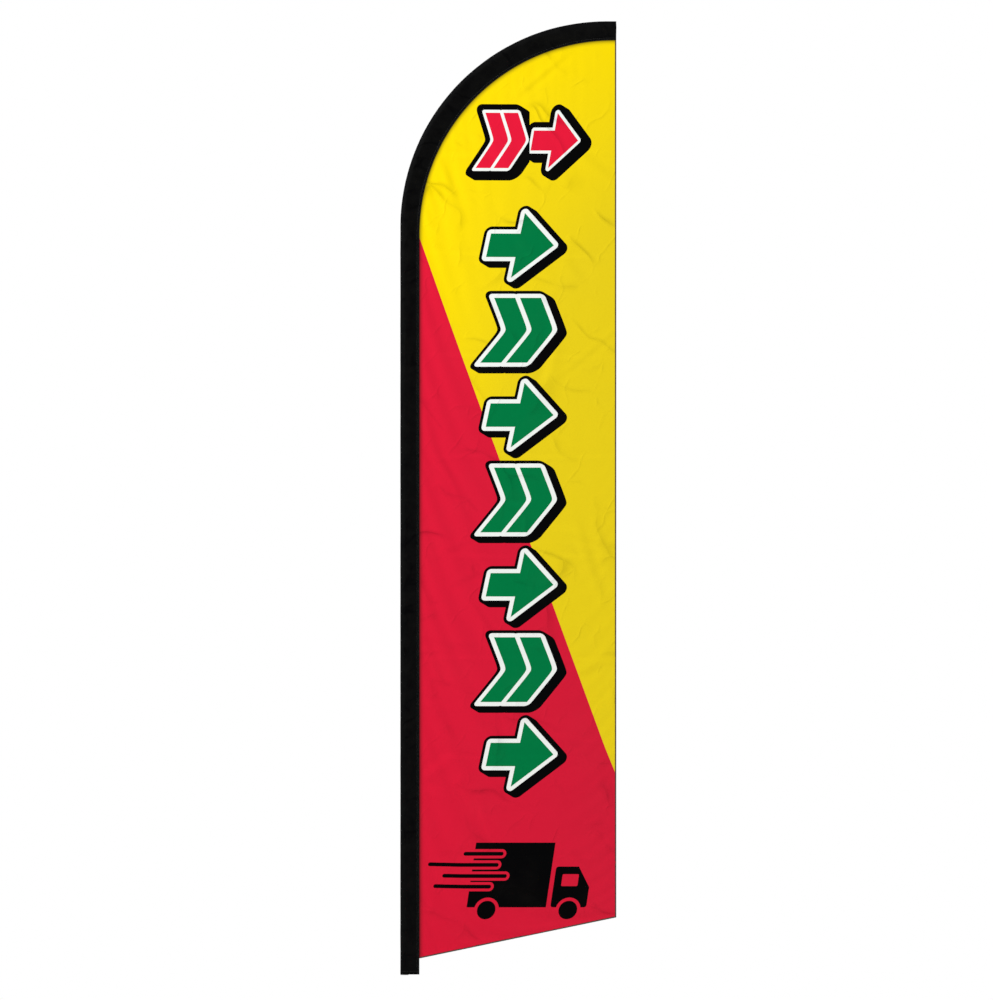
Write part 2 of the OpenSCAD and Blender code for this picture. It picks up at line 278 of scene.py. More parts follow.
def kept_squares():
    """The grid's squares that have no corner outside, as four grid numbers each."""
    number = np.arange((rows + 1) * (columns + 1)).reshape(rows + 1, columns + 1)
    a, b = number[:-1, :-1], number[:-1, 1:]
    c, d = number[1:, 1:], number[1:, :-1]
    squares = np.stack([a, b, c, d], -1).reshape(-1, 4)
    return squares[~outside.ravel()[squares].any(1)]


squares = kept_squares()
used = np.unique(squares)
renumber = np.full((rows + 1) * (columns + 1), -1)
renumber[used] = np.arange(len(used))
flat = np.stack([flat_x.ravel()[used], np.zeros(len(used)), flat_z.ravel()[used]], 1)
numbered = renumber.reshape(rows + 1, columns + 1)
trailing_line = [n for n in numbered[::-1, -1] if n >= 0]
bottom_line = [n for n in numbered[0, ::-1] if flat[n, 0] > edge_x - 2 * MM]

panel = make_piece("flag_cloth", flat.tolist(), faces=renumber[squares].tolist())
panel_mesh = panel.data
corner_points = np.zeros(len(panel_mesh.loops), np.int32)
panel_mesh.loops.foreach_get("vertex_index", corner_points)
cut_map = panel_mesh.uv_layers.new(name="cut")
cut_map.data.foreach_set("uv", flat[corner_points][:, [0, 2]].ravel())

# %% [markdown]
# ## Letting the cloth settle
#
# A real flag is never flat. The seam takes up a little more cloth than the pole needs, the weight
# pulls down from the bend, and the cloth shows where it was folded in its bag. Blender's Cloth does
# the first two: the seam is pinned, the cloth is grown by less than a hundredth, and gravity with a
# light breeze turns that extra cloth into long soft folds.
#
# The free edges are bound with thread, so they stay straight in the flag's own plane. Only a part of
# what the simulation moves in that plane is kept, and the depth of a fold is capped.

# %% How firmly each point is held
SEAM_FADE = 14 * MM
EDGE_HOLD = 0.35
EDGE_FADE = 30 * MM

into_panel = np.where(
    (flat[:, 0] < edge_mid.x) & (flat[:, 2] > edge_mid.y),
    edge_r - np.hypot(flat[:, 0] - edge_mid.x, flat[:, 2] - edge_mid.y),
    np.minimum(flat[:, 0] - edge_x, edge_top - flat[:, 2]),
)
seam_hold = np.clip(1 - (into_panel - 1 * MM) / SEAM_FADE, 0, 1)
from_trailing = panel_right - flat[:, 0]
from_bottom = flat[:, 2] - bottom_at(flat[:, 0])
from_edge = np.minimum(from_trailing, from_bottom)
edge_hold = EDGE_HOLD * np.clip(1 - from_edge / EDGE_FADE, 0, 1)
hold = np.maximum(seam_hold, edge_hold)
held = panel.vertex_groups.new(name="held")
for number, weight in enumerate(hold):
    held.add([number], float(weight), "REPLACE")
print("held fully", int((seam_hold >= 1).sum()), "points")

# %% Simulate and keep the folds
SETTLE_STEPS = 45
EXTRA_CLOTH = 0.004
DEEPEST_FOLD = 12 * MM
KEPT_DEPTH = 0.3
KEPT_IN_PLANE = 0.5
FURTHEST_IN_PLANE = 3 * MM
STRAIGHT_EDGE = 40 * MM
START_RIPPLE = 1.5 * MM


def settle(cloth):
    """Runs the cloth from flat and returns where its points end up."""
    modifier = cloth.modifiers.new("settle", "CLOTH")
    settings = modifier.settings
    settings.quality = 5
    settings.mass = 0.12
    settings.tension_stiffness = settings.compression_stiffness = 20
    settings.shear_stiffness = 8
    settings.bending_stiffness = 3.0
    settings.air_damping = 2.0
    settings.vertex_group_mass = "held"
    settings.pin_stiffness = 1.0
    settings.shrink_min = -EXTRA_CLOTH
    modifier.collision_settings.use_collision = False
    modifier.point_cache.frame_start = 1
    modifier.point_cache.frame_end = SETTLE_STEPS
    for step in range(1, SETTLE_STEPS + 1):
        scene.frame_set(step)
    settled = cloth.evaluated_get(bpy.context.evaluated_depsgraph_get()).to_mesh()
    places = np.zeros(len(settled.vertices) * 3)
    settled.vertices.foreach_get("co", places)
    cloth.modifiers.remove(modifier)
    scene.frame_set(1)
    return places.reshape(-1, 3)


def breeze():
    """A gentle uneven wind on the printed side, which decides which way each fold goes."""
    puff = bpy.data.objects.new("breeze", None)
    scene.collection.objects.link(puff)
    puff.location = (0.3, -1.0, 1.8)
    bpy.context.view_layer.objects.active = puff
    bpy.ops.object.forcefield_toggle()
    puff.field.type = "TURBULENCE"
    puff.field.strength = 1.6
    puff.field.size = 0.8
    puff.field.seed = 11
    return puff


started = flat.copy()
started[:, 1] = np.array([noise.noise(Vector(p) * 3.1) for p in flat]) * START_RIPPLE * (1 - hold)
panel_mesh.vertices.foreach_set("co", started.ravel())
wind = breeze()
settled = settle(panel)
bpy.data.objects.remove(wind)

moved = settled - flat
moved[:, 1] = DEEPEST_FOLD * np.tanh(KEPT_DEPTH * moved[:, 1] / DEEPEST_FOLD)
in_plane = np.clip(moved[:, [0, 2]] * KEPT_IN_PLANE, -FURTHEST_IN_PLANE, FURTHEST_IN_PLANE)
moved[:, [0, 2]] = in_plane * np.clip(from_edge / STRAIGHT_EDGE, 0, 1)[:, None]
print("folds from", round(moved[:, 1].min() / MM, 1), "to", round(moved[:, 1].max() / MM, 1), "mm")

# %% [markdown]
# ## Creases from the bag
#
# Packing leaves fine creases that a simulation of this size doesn't make. The flag was rolled and then
# folded over, so a few faint lines run straight across it, and many short curved ones lie at a slant.
# Each crease is a shallow ridge beside a shallow valley. They are scattered with a fixed seed.

# %% Scatter the creases
CREASES = 60
FOLD_STEP = 0.37
CREASE_DEPTH = (0.6 * MM, 2.0 * MM)
CREASE_WIDTH = (14 * MM, 28 * MM)
CREASE_LENGTH = (0.12, 0.5)
CREASE_TURNS = (-64, -50, -38, -28, -12, 16, 34, 82)
FOLD_WIDTH = 12 * MM
FOLD_DEPTH = 1.0 * MM
FOLD_REACH = 0.22
RIPPLE = 0.3 * MM
CREASE_FADE = 18 * MM

chance = random.Random(7)


def crease(points, middle, turn, length, width, depth, bow):
    """One crease: how far it lifts each point. length is half the crease's own."""
    offset = points - np.array(middle)
    along = offset[:, 0] * math.cos(turn) + offset[:, 1] * math.sin(turn)
    across = offset[:, 1] * math.cos(turn) - offset[:, 0] * math.sin(turn) - bow * along**2
    fade = np.clip(1 - (along / length) ** 2, 0, 1) ** 1.5
    return depth * fade * (across / width) * np.exp(0.5 - (across / width) ** 2) * math.sqrt(2)


def stray_crease(points):
    middle = (chance.uniform(edge_x, panel_right), chance.uniform(low_z, panel_top))
    turn = math.radians(chance.choice(CREASE_TURNS) + chance.uniform(-9, 9))
    length = chance.uniform(*CREASE_LENGTH) / 2
    depth = chance.uniform(*CREASE_DEPTH) * chance.choice([-1, 1])
    bow = chance.uniform(-0.25, 0.25) / length
    return crease(points, middle, turn, length, chance.uniform(*CREASE_WIDTH), depth, bow)


def folded_line(points, height):
    """One of the lines straight across, in two parts that don't quite meet."""
    lift = 0
    for share in (0.27, 0.74):
        middle = (edge_x + share * (panel_right - edge_x), height + chance.uniform(-8, 8) * MM)
        turn = math.radians(chance.uniform(-2.5, 2.5))
        bow = chance.uniform(-0.05, 0.05)
        lift = lift + crease(points, middle, turn, FOLD_REACH, FOLD_WIDTH, FOLD_DEPTH, bow)
    return lift


spots = flat[:, [0, 2]]
lift = sum(stray_crease(spots) for _ in range(CREASES))
lift = lift + sum(folded_line(spots, low_z + k * FOLD_STEP) for k in range(1, 9))
lift = lift + np.array([noise.noise(Vector((p[0] * 22, 4.0, p[2] * 13))) for p in flat]) * RIPPLE
moved[:, 1] += lift * np.clip(into_panel / CREASE_FADE, 0, 1)
panel_mesh.vertices.foreach_set("co", (flat + moved).ravel())
panel_mesh.update()
print("creases", CREASES, "deepest lift", round(abs(lift).max() / MM, 2), "mm")

# %% [markdown]
# ## The sleeve
#
# The sleeve is one long strip folded round the pole, with its two edges sewn to the cloth. Seen from
# its end it is a drop: round over the pole and flat at the seam. Building it as a loft of such drops
# along the pole's path keeps the seam exactly on the pattern, which a simulation wouldn't. Where the
# strip is loose, between pole and seam, it gets slanting drag folds, and round the bend its inner side
# has too much cloth, so it puckers across. Near the foot it has a hole for the button that holds the
# flag down. The eyelet and its washer clamp the cloth round that hole, so it is flat there, and they
# cover the hole's edge.

# %% One drop-shaped section
FLAP_POINTS, SIDE_POINTS, ROUND_POINTS = 3, 7, 15
PINCH = (PANEL_CLOTH + SLEEVE_CLOTH) / 2


def drop_section(reach, radius, pinch):
    """Points of a section from the front flap round the pole to the back flap, as (inwards, depth)."""
    seam = reach - SEAM_W
    turn = math.atan2(pinch, seam) + math.acos(radius / math.hypot(seam, pinch))
    touch = Vector((math.cos(turn), math.sin(turn))) * radius
    joint = Vector((seam, pinch))
    flap = [Vector((reach, pinch)).lerp(joint, k / FLAP_POINTS) for k in range(FLAP_POINTS)]
    side = [joint.lerp(touch, k / SIDE_POINTS) for k in range(SIDE_POINTS)]
    over = [turn + (math.pi - turn) * k / ROUND_POINTS for k in range(ROUND_POINTS)]
    half = flap + side + [Vector((math.cos(a), math.sin(a))) * radius for a in over]
    mirror = [Vector((p.x, -p.y)) for p in half]
    return mirror + [Vector((-radius, 0))] + half[::-1]


def strip_faces(count, width, closed=False):
    """Four-sided faces between count rows of width points. In a closed row the last meets the first."""
    return [
        (i * width + k, i * width + (k + 1) % width, (i + 1) * width + (k + 1) % width, (i + 1) * width + k)
        for i in range(count - 1)
        for k in range(width if closed else width - 1)
    ]


section = drop_section(edge_x, outer_r - SLEEVE_CLOTH / 2, PINCH)
strip_w = sum((b - a).length for a, b in zip(section, section[1:]))
print("points in a section", len(section), "strip width", round(strip_w, 4))

# %% Loft the strip along the pole
SLEEVE_STEP = 6 * MM
DRAG_DEPTH = 3.0 * MM
PUCKER_DEPTH = 1.6 * MM
HEM_H = 14 * MM
SEWN_FLAT = 30 * MM
ON_POLE = 0.16
DEEPEST_IN = 0.7 * MM
HEM_START = 0.4 * MM
HEM_INSIDE = 0.85 * MM
HOLE_R = 7.2 * MM
HOLE_FLAT = 12 * MM
HOLE_ROW = 1.5 * MM
HOLE_ROWS = 8

eyelet_low, eyelet_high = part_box("grommet_eyelet")
eyelet_mid = (Vector(eyelet_low) + Vector(eyelet_high)) / 2
hole_s = eyelet_mid.z - sleeve_low.z
hole_way = Vector((eyelet_mid.x, eyelet_mid.y, 0)).normalized()


def in_hole(point):
    """Whether a point of the strip is inside the eyelet's hole, which runs straight out of the pole."""
    out = Vector((point[0], point[1], point[2] - eyelet_mid.z))
    along = out.dot(hole_way)
    return along > 0 and (out - hole_way * along).length < HOLE_R


def row_places(s_from, s_to):
    """Even rows along the strip, with finer ones beside the hole."""
    count = max(2, round((s_to - s_from) / SLEEVE_STEP))
    even = [s_from + (s_to - s_from) * i / count for i in range(count + 1)]
    if not s_from < hole_s < s_to:
        return even
    fine = [hole_s + HOLE_ROW * k for k in range(-HOLE_ROWS, HOLE_ROWS + 1)]
    return sorted([s for s in even if abs(s - hole_s) > (HOLE_ROWS + 1) * HOLE_ROW] + fine)


def looseness(k, count):
    """0 where the strip is sewn or lies on the pole, 1 halfway between."""
    step = min(k, count - 1 - k) - FLAP_POINTS
    if step < 0:
        return 0.0
    return max(ON_POLE, math.sin(math.pi * min(step / (SIDE_POINTS + 4), 1)))


def sleeve_lift(s, k, count, bend):
    """How far a point of the strip stands out: slanting drags, with puckers round the bend."""
    side = 1 if k < count / 2 else -1
    across = min(k, count - 1 - k) * 4 * MM
    slant = Vector((s * 9 + side * across * 30, across * 26 - s * 3, side * 5.0))
    fine = Vector((s * 42 + side * across * 70, across * 30, side * 9.0))
    drag = noise.noise(slant) + 0.4 * noise.noise(fine)
    pucker = noise.noise(Vector((s * 85, side * 3.0, across * 9)))
    from_sewn = min(s - HEM_H, path_l - s, abs(s - hole_s) - HOLE_FLAT)
    free = max(min(from_sewn / SEWN_FLAT, 1.0), 0.0)
    return free * looseness(k, count) * (DRAG_DEPTH * drag + bend * PUCKER_DEPTH * pucker)


def loft_sleeve(name, s_from, s_to, inset, wrinkled):
    """A strip round the pole from s_from to s_to, inset metres inside the sleeve's cloth."""
    rows_s = row_places(s_from, s_to)
    points = []
    for s in rows_s:
        place, way_in = path_at(min(s, path_l - 1e-6))
        radius = outer_r - SLEEVE_CLOTH / 2 - inset
        cut = drop_section(edge_reach(place, way_in), radius, max(PINCH - inset, 0.2 * MM))
        bend = 1.0 if straight_l < s < straight_l + arc_l else 0.0
        for k, (u, y) in enumerate(cut):
            before, after = cut[max(k - 1, 0)], cut[min(k + 1, len(cut) - 1)]
            out = Vector((before.y - after.y, after.x - before.x)).normalized()
            rise = max(sleeve_lift(s, k, len(cut), bend), -DEEPEST_IN) if wrinkled else 0.0
            flat_place = place + way_in * (u + out.x * rise)
            points.append((flat_place.x, y + out.y * rise, flat_place.y))
    width = len(section)
    faces = strip_faces(len(rows_s), width)
    faces = [f for f in faces if not in_hole(sum((Vector(points[n]) for n in f), Vector()) / 4)]
    kept = sorted({n for f in faces for n in f})
    new_number = {n: number for number, n in enumerate(kept)}
    made = make_piece(name, [points[n] for n in kept], faces=[[new_number[n] for n in f] for f in faces])
    strip = made.data.uv_layers.new(name="strip")
    for loop in made.data.loops:
        i, k = divmod(kept[loop.vertex_index], width)
        strip.data[loop.index].uv = (strip_w * k / (width - 1), rows_s[i])
    thicken(made, SLEEVE_CLOTH)
    return made


def thicken(piece, thickness):
    """Gives a sheet its thickness, half to each side."""
    wall = piece.modifiers.new("cloth_thickness", "SOLIDIFY")
    wall.thickness = thickness
    wall.offset = 0.0
    wall.use_even_offset = False
    return wall


sleeve = loft_sleeve("sleeve_cloth", 0, path_l, 0, True)
hem = loft_sleeve("sleeve_hem", HEM_START, HEM_H, HEM_INSIDE, False)
print("sleeve faces", len(sleeve.data.polygons), "hem faces", len(hem.data.polygons))

# %% [markdown]
# ## The patch at the sleeve's end
#
# The pole's tip pushes against a patch that closes the sleeve. It is the same drop shape, filled in
# rings and domed a little where the rod's cap presses on it from inside.

# %% Patch over the sleeve's end
PATCH_RINGS = 6
PATCH_DOME = 1.6 * MM
PATCH_INSIDE = 1.4 * MM
PATCH_CLOTH = 1.2 * MM


def end_patch():
    place, way_in = path_at(path_l - 1e-6)
    outline = drop_section(edge_reach(place, way_in), outer_r - 1.3 * MM, 0.3 * MM)
    heart = Vector((4 * MM, 0))
    base = place.x - PATCH_INSIDE
    points = []
    for ring in range(PATCH_RINGS):
        share = 1 - ring / PATCH_RINGS
        dome = PATCH_DOME * math.cos(share * math.pi / 2)
        for q in (heart.lerp(p, share) for p in outline):
            points.append((base + dome, q.y, place.y - q.x))
    points.append((base + PATCH_DOME, heart.y, place.y - heart.x))
    width = len(outline)
    inmost = (PATCH_RINGS - 1) * width
    faces = strip_faces(PATCH_RINGS, width, closed=True)
    faces += [(inmost + k, inmost + (k + 1) % width, inmost + width) for k in range(width)]
    made = make_piece("sleeve_end_cloth", points, faces=faces)
    thicken(made, PATCH_CLOTH)
    return made


patch = end_patch()
print("patch faces", len(patch.data.polygons))

# %% [markdown]
# ## Threads
#
# There are three kinds of sewing on this flag: two rows of straight stitches that hold the cloth in
# the sleeve's seam, one such row round the sleeve's hem, and a thread that loops over the cloth's raw
# edges. A stitch repeats thousands of times, so Geometry Nodes place it: a line is walked in equal
# steps, and one small bent thread is put at each step, turned along the line. The result is turned
# into a plain mesh afterwards.

# %% The arithmetic helper and the stitching tree


class Measure:
    """A number inside a node tree. Arithmetic on it adds Math nodes to the tree."""

    def __init__(self, tree, socket):
        self.tree = tree
        self.socket = socket

    def math(self, operation, *others):
        made = self.tree.nodes.new("ShaderNodeMath")
        made.operation = operation
        for socket, value in zip(made.inputs, (self, *others)):
            put(self.tree, value, socket)
        return Measure(self.tree, made.outputs[0])

    def __add__(self, other):
        return self.math("ADD", other)

    def __sub__(self, other):
        return self.math("SUBTRACT", other)

    def __rsub__(self, other):
        return self.math("MULTIPLY_ADD", -1.0, other)

    def __mul__(self, other):
        return self.math("MULTIPLY", other)

    __radd__, __rmul__ = __add__, __mul__

    def __truediv__(self, other):
        return self.math("DIVIDE", other)

    def __rtruediv__(self, other):
        return self.math("POWER", -1.0) * other

    def __neg__(self):
        return self.math("MULTIPLY", -1.0)

    def __abs__(self):
        return self.math("ABSOLUTE")

    def least(self, *others):
        for other in others:
            self = self.math("MINIMUM", other)
        return self

    def most(self, *others):
        for other in others:
            self = self.math("MAXIMUM", other)
        return self

    def rounded_most(self, other, roundness):
        return self.math("SMOOTH_MAX", other, roundness)

    def below(self, limit):
        return self.math("LESS_THAN", limit)


def vector_of(tree, x, y, z):
    return add(tree, "ShaderNodeCombineXYZ", X=x, Y=y, Z=z).outputs[0]


def socket_for(tree, name, kind, way="INPUT"):
    return tree.interface.new_socket(name, in_out=way, socket_type="NodeSocket" + kind)


def stitch_tree(name, bent_thread):
    """A tree that puts a bent thread at every step of a line. bent_thread gives its three points."""
    tree = bpy.data.node_groups.new(name, "GeometryNodeTree")
    socket_for(tree, "Line", "Geometry")
    for size in ("Step", "Length", "Reach", "Rise", "Thread radius"):
        socket_for(tree, size, "Float")
    socket_for(tree, "Facing", "Vector")
    socket_for(tree, "Thread", "Material")
    socket_for(tree, "Stitches", "Geometry", "OUTPUT")
    inside = tree.nodes.new("NodeGroupInput").outputs
    length, reach, rise = (Measure(tree, inside[k]) for k in ("Length", "Reach", "Rise"))
    start, middle, end = (vector_of(tree, *p) for p in bent_thread(length, reach, rise))
    bow = add(tree, "GeometryNodeCurveQuadraticBezier", Resolution=4, Start=start, Middle=middle, End=end)
    ring = add(tree, "GeometryNodeCurvePrimitiveCircle", Resolution=5, Radius=inside["Thread radius"])
    thread = add(tree, "GeometryNodeCurveToMesh", Curve=bow.outputs[0], Profile_Curve=ring.outputs[0],
                 Fill_Caps=True)
    line = add(tree, "GeometryNodeMeshToCurve", Mesh=inside["Line"])
    steps = add(tree, "GeometryNodeResampleCurve", {"mode": "LENGTH"}, Curve=line.outputs[0],
                Length=inside["Step"])
    faced = add(tree, "FunctionNodeAlignRotationToVector", {"axis": "Z"}, Vector=inside["Facing"])
    along = add(tree, "GeometryNodeInputTangent")
    turned = add(tree, "FunctionNodeAlignRotationToVector", {"axis": "X", "pivot_axis": "Z"},
                 Rotation=faced.outputs[0], Vector=along.outputs[0])
    placed = add(tree, "GeometryNodeInstanceOnPoints", Points=steps.outputs[0], Instance=thread.outputs[0],
                 Rotation=turned.outputs[0])
    real = add(tree, "GeometryNodeRealizeInstances", Geometry=placed.outputs[0])
    smooth = add(tree, "GeometryNodeSetShadeSmooth", Geometry=real.outputs[0])
    finished = add(tree, "GeometryNodeSetMaterial", Geometry=smooth.outputs[0], Material=inside["Thread"])
    add(tree, "NodeGroupOutput", Stitches=finished.outputs[0])
    return tree


straight_stitch = stitch_tree(
    "straight_stitch",
    lambda length, reach, rise: (
        (length * -0.5, reach, 0.0),
        (0.0, reach, rise),
        (length * 0.5, reach, 0.0),
    ),
)
edge_loop = stitch_tree(
    "edge_loop",
    lambda length, reach, rise: (
        (length * -0.5, -reach, rise),
        (length * 0.7, reach * 1.1, 0.0),
        (length * -0.5, -reach, -rise),
    ),
)
print("stitch trees", straight_stitch.name, edge_loop.name)

# %% Sew along a line
def sew(name, tree, lines, facing, thread, sizes):
    """Runs a stitch tree along lines of points and returns the stitches as a plain mesh object."""
    points, edges = [], []
    for line in lines:
        edges += [(len(points) + k, len(points) + k + 1) for k in range(len(line) - 1)]
        points += [tuple(p) for p in line]
    guide = make_piece(name + "_line", points, edges)
    sewing = guide.modifiers.new("sew", "NODES")
    sewing.node_group = tree
    values = {"Facing": facing, "Thread": thread, **sizes}
    for item in tree.interface.items_tree:
        if item.in_out == "INPUT" and item.name in values:
            sewing[item.identifier] = values[item.name]
    guide.update_tag()
    stitched = guide.evaluated_get(bpy.context.evaluated_depsgraph_get())
    made = bpy.data.objects.new(name, bpy.data.meshes.new_from_object(stitched))
    made.data.name = name
    scene.collection.objects.link(made)
    bpy.data.objects.remove(guide)
    print(name, "faces", len(made.data.polygons))
    return made


# %% [markdown]
# ## Finishes: the helpers
#
# Effects that several finishes share are node groups: the loops of knitted cloth, the ribs of woven
# cloth, the grain of drawn metal, a fine dust and the sharp creases of pressed cloth. Each takes a
# position and a scale, and gives back a height or a mask. The Principled shader stays in the material
# itself.

# %% Colours and a new finish
def srgb(red, green, blue):
    """A screen colour as the linear colour that shaders use."""
    channels = [c / 255 for c in (red, green, blue)]
    linear = [c / 12.92 if c <= 0.04045 else ((c + 0.055) / 1.055) ** 2.4 for c in channels]
    return (*linear, 1.0)


def new_finish(name, **shader):
    """A material with a Principled shader. Its fixed numbers are set on the shader itself."""
    finish = bpy.data.materials.new(name)
    finish.use_nodes = True
    tree = finish.node_tree
    tree.nodes.clear()
    skin = add(tree, "ShaderNodeBsdfPrincipled", **shader)
    add(tree, "ShaderNodeOutputMaterial", Surface=skin.outputs[0])
    return finish, tree, skin


def new_group(name, inputs, outputs):
    tree = bpy.data.node_groups.new(name, "ShaderNodeTree")
    for label, kind in inputs.items():
        socket_for(tree, label, kind)
    for label, kind in outputs.items():
        socket_for(tree, label, kind, "OUTPUT")
    return tree, tree.nodes.new("NodeGroupInput").outputs


def use(tree, group, **inputs):
    """A shared group's outputs in their order, as Measures."""
    outputs = add(tree, "ShaderNodeGroup", {"node_tree": group}, **inputs).outputs
    return [Measure(tree, output) for output in outputs]


def shade_node(tree, kind, settings=None, **inputs):
    """The first output of a new shader node, as a Measure."""
    return Measure(tree, add(tree, "ShaderNode" + kind, settings, **inputs).outputs[0])


def own_place(tree):
    return add(tree, "ShaderNodeTexCoord").outputs["Object"]


def map_place(tree, name):
    return add(tree, "ShaderNodeUVMap", {"uv_map": name}).outputs[0]


def split(tree, vector):
    parts = add(tree, "ShaderNodeSeparateXYZ", Vector=vector).outputs
    return [Measure(tree, part) for part in parts]


def bumped(tree, height, strength, distance, **under):
    """A surface direction for a shader's Normal, from a height."""
    bump = add(tree, "ShaderNodeBump", Strength=strength, Distance=distance, Height=height, **under)
    return bump.outputs[0]


def mix(tree, share, a, b):
    made = tree.nodes.new("ShaderNodeMix")
    made.data_type = "RGBA"
    for number, value in ((0, share), (6, a), (7, b)):
        put(tree, value, made.inputs[number])
    return made.outputs[2]


print("helpers ready")

# %% Groups for knit, twill, grain, dust and creases
def knit_group():
    """Warp knit: columns of small loops, as a height and as a mask of the tiny gaps between them."""
    tree, inside = new_group("warp_knit", {"Place": "Vector", "Wale": "Float"},
                             {"Height": "Float", "Gaps": "Float"})
    x, z, _ = split(tree, inside["Place"])
    wale = Measure(tree, inside["Wale"])
    column = (x / wale).math("FRACT") - 0.5
    parity = (x / wale).math("FLOOR").math("MODULO", 2.0)
    course = (z / wale * 1.25 + parity * 0.5).math("FRACT") - 0.5
    across = abs(column) * 2.0
    loop = (course * (2 * math.pi) + across * 2.2).math("COSINE")
    height = (1.0 - across * across) * 0.7 + loop * 0.3
    gaps = (across * across * 1.4 + (abs(course) * 2.0) - 1.6).most(0.0)
    add(tree, "NodeGroupOutput", Height=height, Gaps=gaps)
    return tree


def twill_group():
    """Fine slanting ribs with a little unevenness."""
    tree, inside = new_group("fine_twill", {"Place": "Vector", "Rib": "Float"}, {"Height": "Float"})
    x, z, _ = split(tree, inside["Place"])
    rib = Measure(tree, inside["Rib"])
    ribs = ((x + z * 0.7) / rib * (2 * math.pi)).math("SINE")
    floats = ((x - z * 1.3) / rib * (2 * math.pi)).math("SINE")
    add(tree, "NodeGroupOutput", Height=ribs * 0.6 + floats * 0.4)
    return tree


def grain_group():
    """Long fine lines along z, as drawn or brushed metal has."""
    tree, inside = new_group("drawn_grain", {"Place": "Vector", "Fineness": "Float"}, {"Lines": "Float"})
    stretch = shade_node(tree, "Mapping", Vector=inside["Place"], Scale=(1.0, 1.0, 0.02))
    lines = shade_node(tree, "TexNoise", Vector=stretch, Scale=inside["Fineness"], Detail=4.0)
    add(tree, "NodeGroupOutput", Lines=lines)
    return tree


def dust_group():
    """Soft patches of dust and handling, from 0 to 1."""
    tree, inside = new_group("dust", {"Place": "Vector", "Size": "Float"}, {"Dust": "Float"})
    wide = shade_node(tree, "TexNoise", Vector=inside["Place"], Scale=inside["Size"], Detail=5.0,
                      Roughness=0.62)
    mask = shade_node(tree, "MapRange", From_Min=0.48, From_Max=0.72, Value=wide)
    add(tree, "NodeGroupOutput", Dust=mask)
    return tree


def crumple_group():
    """Sharp creases where folded cloth was pressed: ridges between irregular facets, fading in and out."""
    tree, inside = new_group("crumple", {"Place": "Vector", "Size": "Float", "Turn": "Float"},
                             {"Ridges": "Float"})
    size = Measure(tree, inside["Size"])
    bent = add(tree, "ShaderNodeTexNoise", Vector=inside["Place"], Scale=1.1 / size, Detail=1.0)
    off = shade_node(tree, "VectorMath", {"operation": "SCALE"}, Vector=bent.outputs[1], Scale=size * 0.7)
    off_place = add(tree, "ShaderNodeVectorMath", {"operation": "ADD"}, Vector=inside["Place"])
    put(tree, off, off_place.inputs[1])
    turned = shade_node(tree, "VectorRotate", {"rotation_type": "Z_AXIS"}, Vector=off_place.outputs[0],
                        Angle=inside["Turn"])
    long = add(tree, "ShaderNodeVectorMath", {"operation": "MULTIPLY"}, Vector=turned)
    put(tree, (0.38, 1.0, 1.0), long.inputs[1])
    facets = shade_node(tree, "TexVoronoi", {"feature": "DISTANCE_TO_EDGE", "voronoi_dimensions": "2D"},
                        Vector=long.outputs[0], Scale=1.0 / size)
    ridge = (1.0 - facets * 9.0).most(0.0)
    shown = shade_node(tree, "TexNoise", Vector=inside["Place"], Scale=0.9 / size, Detail=2.0)
    mask = shade_node(tree, "MapRange", From_Min=0.48, From_Max=0.66, Value=shown)
    add(tree, "NodeGroupOutput", Ridges=ridge * ridge * mask)
    return tree


knit, twill, grain, dust = knit_group(), twill_group(), grain_group(), dust_group()
crumple = crumple_group()
print("groups", knit.name, twill.name, grain.name, dust.name, crumple.name)

# %% [markdown]
# ## The print
#
# The print is arithmetic on the cloth's flat places. For each shape there is a distance: negative
# inside it, zero on its edge and positive outside. Combining shapes is then easy, because the nearer
# of two distances joins them and the further one keeps what they share. A white line round a shape is
# simply where the distance is under its width, and a drop shadow is the same shape taken a few small
# steps to the lower right.
#
# The design is plain: a yellow and a red field, a column of seven slanted signs, two red signs above
# them and a van below. The signs are block arrows and double chevrons, and nothing is lettered.

# %% Shapes as distances
SIGN_H = 238 * MM
SIGN_W = 240 * MM
SIGN_LEAN = math.tan(math.radians(12))
HEAD_L = 132 * MM
SHAFT = 43 * MM
CHEVRON = 33 * MM
CHEVRON_GAP = 15 * MM


def from_line(off, beyond):
    """How far a point is from a straight edge: off to its side, and beyond either of its ends."""
    return (off * off + beyond * beyond).math("SQRT")


def arrow_distance(x, up):
    """A block arrow that points along x, mirrored about up = 0."""
    high, tip = SIGN_H / 2, SIGN_W / 2
    back, tail = tip - HEAD_L, -SIGN_W / 2
    length = math.hypot(HEAD_L, high)
    off_nose = (x - tip) * (high / length) + up * (HEAD_L / length)
    along_nose = up * (high / length) - (x - tip) * (HEAD_L / length)
    nose = from_line(off_nose, (-along_nose).most(along_nose - length, 0.0))
    barb = from_line(x - back, (SHAFT - up).most(up - high, 0.0))
    side = from_line(up - SHAFT, (tail - x).most(x - back, 0.0))
    end = from_line(x - tail, (up - SHAFT).most(0.0))
    ahead = x.math("GREATER_THAN", back)
    in_shaft = up.below(SHAFT) * x.math("GREATER_THAN", tail) * (1.0 - ahead)
    inside = off_nose.below(0.0) * ahead + in_shaft
    return nose.least(barb, side, end) * (1.0 - inside * 2.0)


